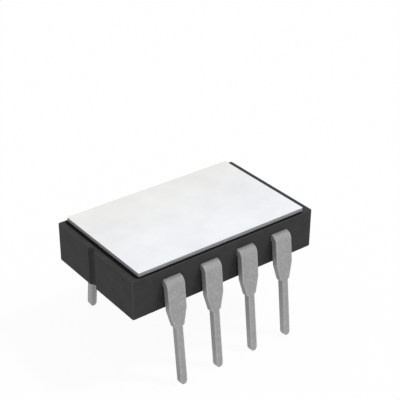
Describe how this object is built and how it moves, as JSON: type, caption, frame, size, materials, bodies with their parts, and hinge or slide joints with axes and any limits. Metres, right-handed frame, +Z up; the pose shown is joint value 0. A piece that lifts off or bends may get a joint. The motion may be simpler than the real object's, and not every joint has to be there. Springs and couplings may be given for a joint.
{
  "type": "accelerometer chip",
  "caption": "Through-hole accelerometer chip: black moulded tray housing with a flat pale metal lid, an end groove and two rows of stamped leads that splay outwards.",
  "frame": {"origin": "level with the tips of the leads, below the middle of the housing", "axes": "+Z up through the lid; +X along the housing, with the groove that marks lead 1 at the -X end; leads 1 to 4 stand on the -Y side and 5 to 8 on the +Y side"},
  "size_m": [0.0126, 0.01, 0.0076],
  "materials": {
    "housing_plastic": "charcoal moulded plastic with a fine matt grain and slightly worn edges",
    "lid_metal": "pale satin nickel-plated steel, flat and nearly white under a soft light",
    "lead_metal": "matt tin plate, finely mottled grey, on stamped lead-frame strip",
    "seal_bead": "black cured adhesive",
    "die_adhesive": "soft pale grey silicone adhesive",
    "silicon": "smooth grey-blue silicon with sawn sides",
    "circuit_silicon": "silicon with a fine pattern of metal tracks on top",
    "wire_gold": "bright drawn gold",
    "gel": "clear soft silicone gel"
  },
  "bodies": {
    "root": {"housing": "housing_plastic", "lead_1": "lead_metal", "lead_2": "lead_metal", "lead_3": "lead_metal", "lead_4": "lead_metal", "lead_5": "lead_metal", "lead_6": "lead_metal", "lead_7": "lead_metal", "lead_8": "lead_metal", "sensor_attach": "die_adhesive", "sensor_base_wafer": "silicon", "sensor_mass_wafer": "silicon", "sensor_cap_wafer": "silicon", "circuit_attach": "die_adhesive", "circuit_die": "circuit_silicon", "lead_wire_1": "wire_gold", "lead_wire_2": "wire_gold", "lead_wire_3": "wire_gold", "lead_wire_4": "wire_gold", "lead_wire_5": "wire_gold", "lead_wire_6": "wire_gold", "lead_wire_7": "wire_gold", "lead_wire_8": "wire_gold", "sensor_wire_base": "wire_gold", "sensor_wire_mass": "wire_gold", "sensor_wire_cap": "wire_gold", "gel_fill": "gel", "lid_seal": "seal_bead", "lid": "lid_metal"}
  },
  "joints": []
}
